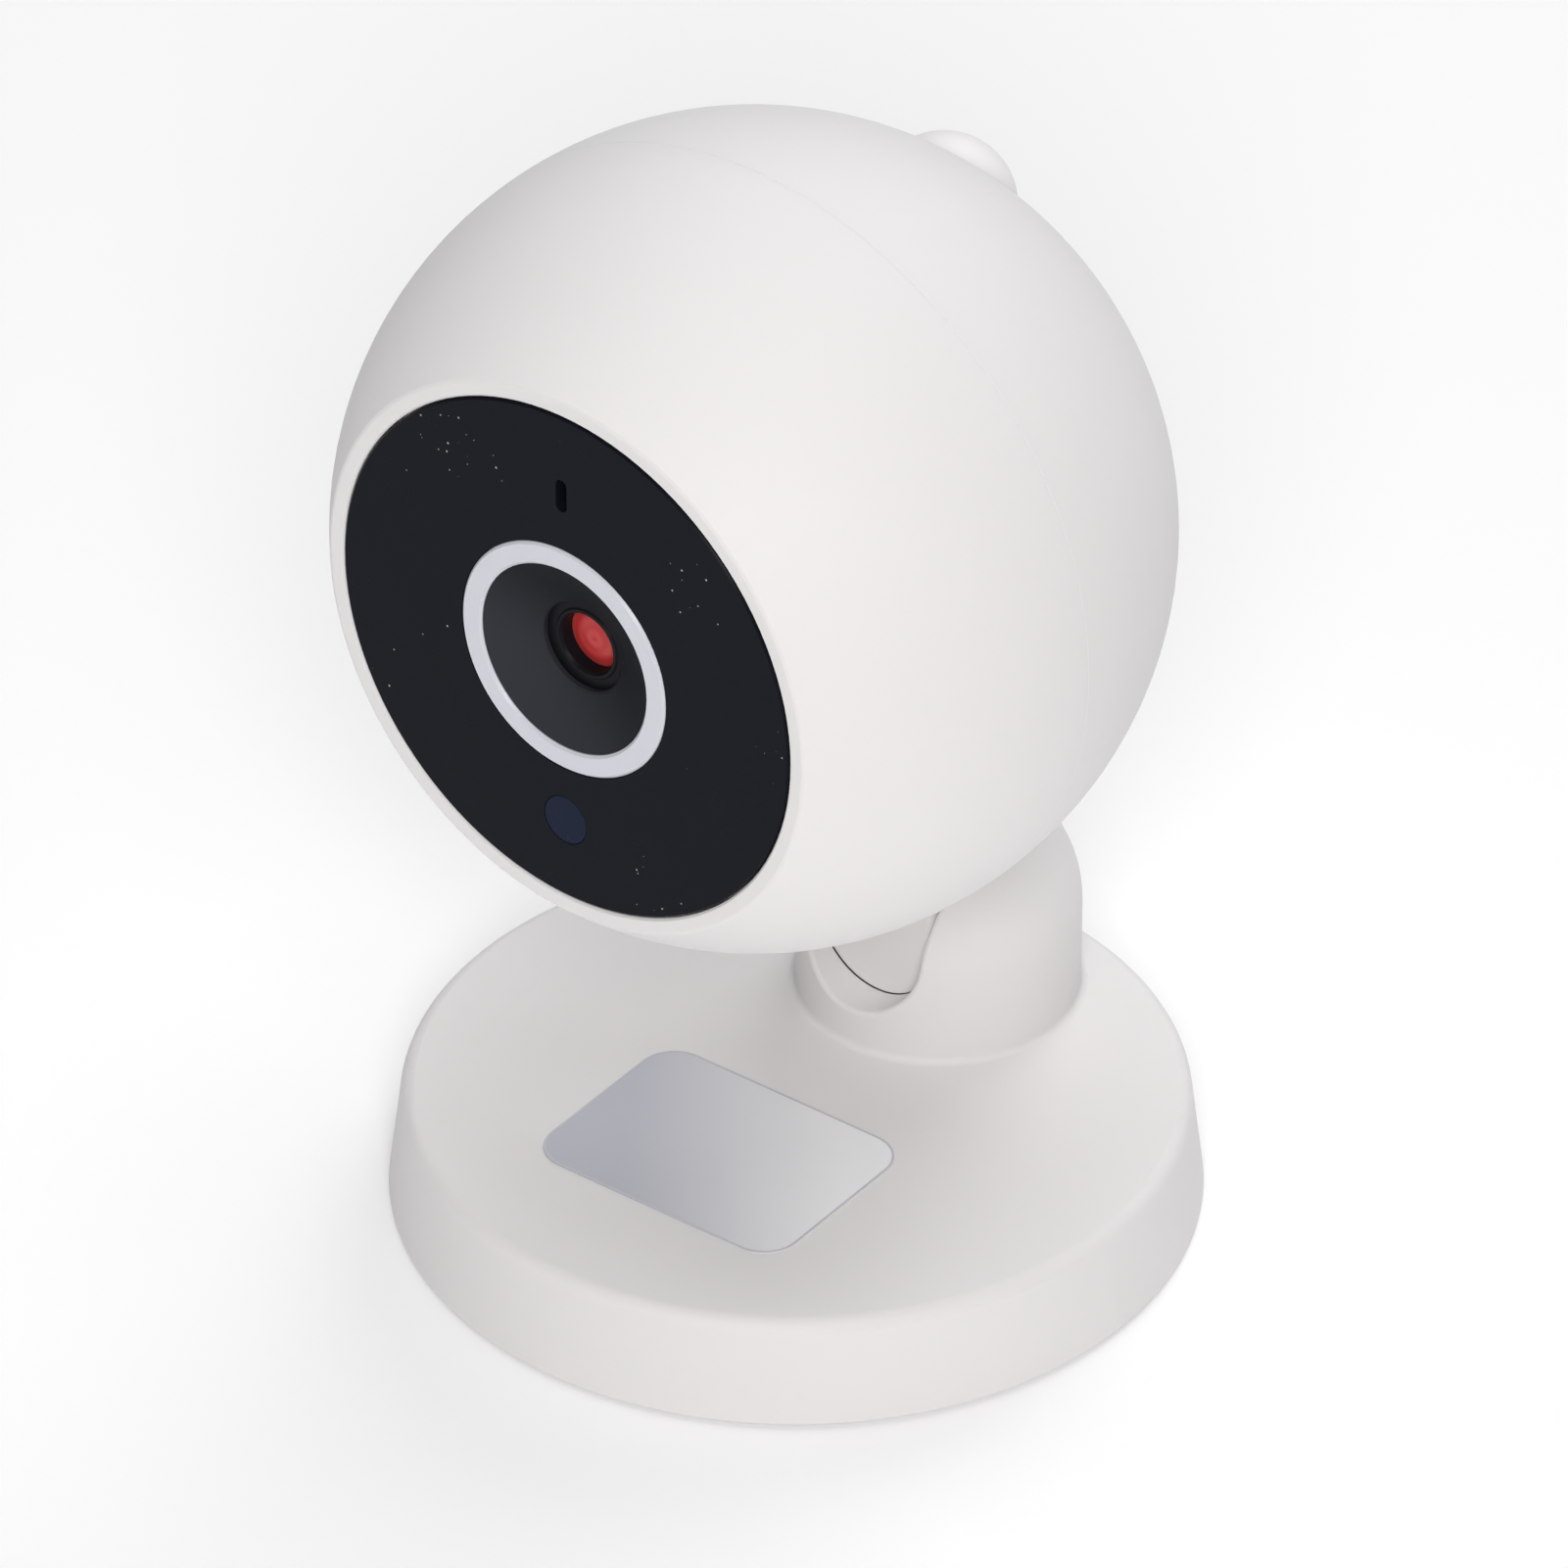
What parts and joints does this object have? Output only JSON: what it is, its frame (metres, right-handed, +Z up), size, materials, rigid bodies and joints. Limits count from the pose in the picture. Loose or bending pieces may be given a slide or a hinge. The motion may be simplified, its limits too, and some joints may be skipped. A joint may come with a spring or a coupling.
{
  "type": "baby monitor camera",
  "caption": "Ball-shaped baby monitor camera with a flat dark face and ringed lens, tilting on the slotted neck of a weighted round base, with a fold-down aerial behind.",
  "frame": {"origin": "centre of the foot pad's underside, on the surface that the camera stands on", "axes": "+Z up; the lens looks along -Y; the controls on the rear are on the +X side"},
  "size_m": [0.08, 0.08, 0.1201],
  "materials": {
    "white_shell": "fine satin moulded",
    "white_arm": "fine satin moulded",
    "dark_window": "polished infra-red window",
    "ring_diffuser": "milky diffuser",
    "black_matt": "matt moulded",
    "lens_black": "black anodised",
    "red_coated_glass": "coated lens",
    "clear_glass": "polished",
    "blue_window": "tinted window",
    "silver_label": "brushed foil, blank",
    "foot_rubber": "matt",
    "grey_base_cover": "satin moulded",
    "cast_weight": "raw casting",
    "steel": "plated",
    "nylon": "natural",
    "circuit_board": "solder mask",
    "silicon": "polished",
    "led_clear": "moulded lens",
    "boot_rubber": "matt",
    "foam": "open cell foam",
    "chip_black": "moulded",
    "socket_steel": "plated",
    "switch_black": "moulded",
    "speaker_paper": "pressed cone"
  },
  "bodies": {
    "base": {"base_shell": "white_shell", "base_plate": "grey_base_cover", "base_screws": "steel", "foot_pad": "foot_rubber", "ballast_weight": "cast_weight", "ballast_screws": "steel", "base_label": "silver_label", "hinge_bracket": "nylon", "bracket_screws": "steel", "hinge_pin": "steel", "hinge_nut": "steel", "friction_washers": "nylon"},
    "head": {"tilt_arm": "white_arm", "arm_screws": "steel", "head_front_shell": "white_shell", "head_rear_shell": "white_shell", "shell_screws": "steel", "face_panel": "dark_window", "light_ring": "ring_diffuser", "lens_bezel": "black_matt", "lens_barrel": "lens_black", "lens_front_glass": "red_coated_glass", "lens_rear_glass": "clear_glass", "lens_holder": "black_matt", "image_sensor": "silicon", "sensor_board": "circuit_board", "sensor_board_screws": "steel", "front_carrier": "black_matt", "carrier_screws": "steel", "ir_led_board": "circuit_board", "ir_leds": "led_clear", "mic_capsule": "socket_steel", "mic_boot": "boot_rubber", "sensor_window": "blue_window", "light_sensor": "led_clear", "main_board": "circuit_board", "main_board_screws": "steel", "main_chips": "chip_black", "speaker": "speaker_paper", "speaker_gasket": "foam", "control_board": "circuit_board", "control_board_screws": "steel", "push_switch": "switch_black", "slide_switch_body": "switch_black", "power_socket": "socket_steel", "aerial_pin": "steel"},
    "aerial": {"aerial": "white_arm"},
    "pair_button": {"pair_button": "white_arm"},
    "power_switch": {"power_switch_knob": "switch_black"}
  },
  "joints": [
    {"name": "head_tilt", "type": "hinge", "parent": "base", "child": "head", "pos_m": [0, 0.0222, 0.023], "axis": [1, 0, 0], "range_deg": [-20, 28]},
    {"name": "aerial_fold", "type": "hinge", "parent": "head", "child": "aerial", "pos_m": [0, 0.0221, 0.1023], "axis": [1, 0, 0], "range_deg": [0, 125]},
    {"name": "pair_press", "type": "slide", "parent": "head", "child": "pair_button", "axis": [-0.5, -0.866, 0], "range_m": [0, 0.0008], "stiffness_N_per_m": 800, "springref_m": -0.0006},
    {"name": "power_slide", "type": "slide", "parent": "head", "child": "power_switch", "axis": [0, 0, 1], "range_m": [0, 0.002]}
  ]
}
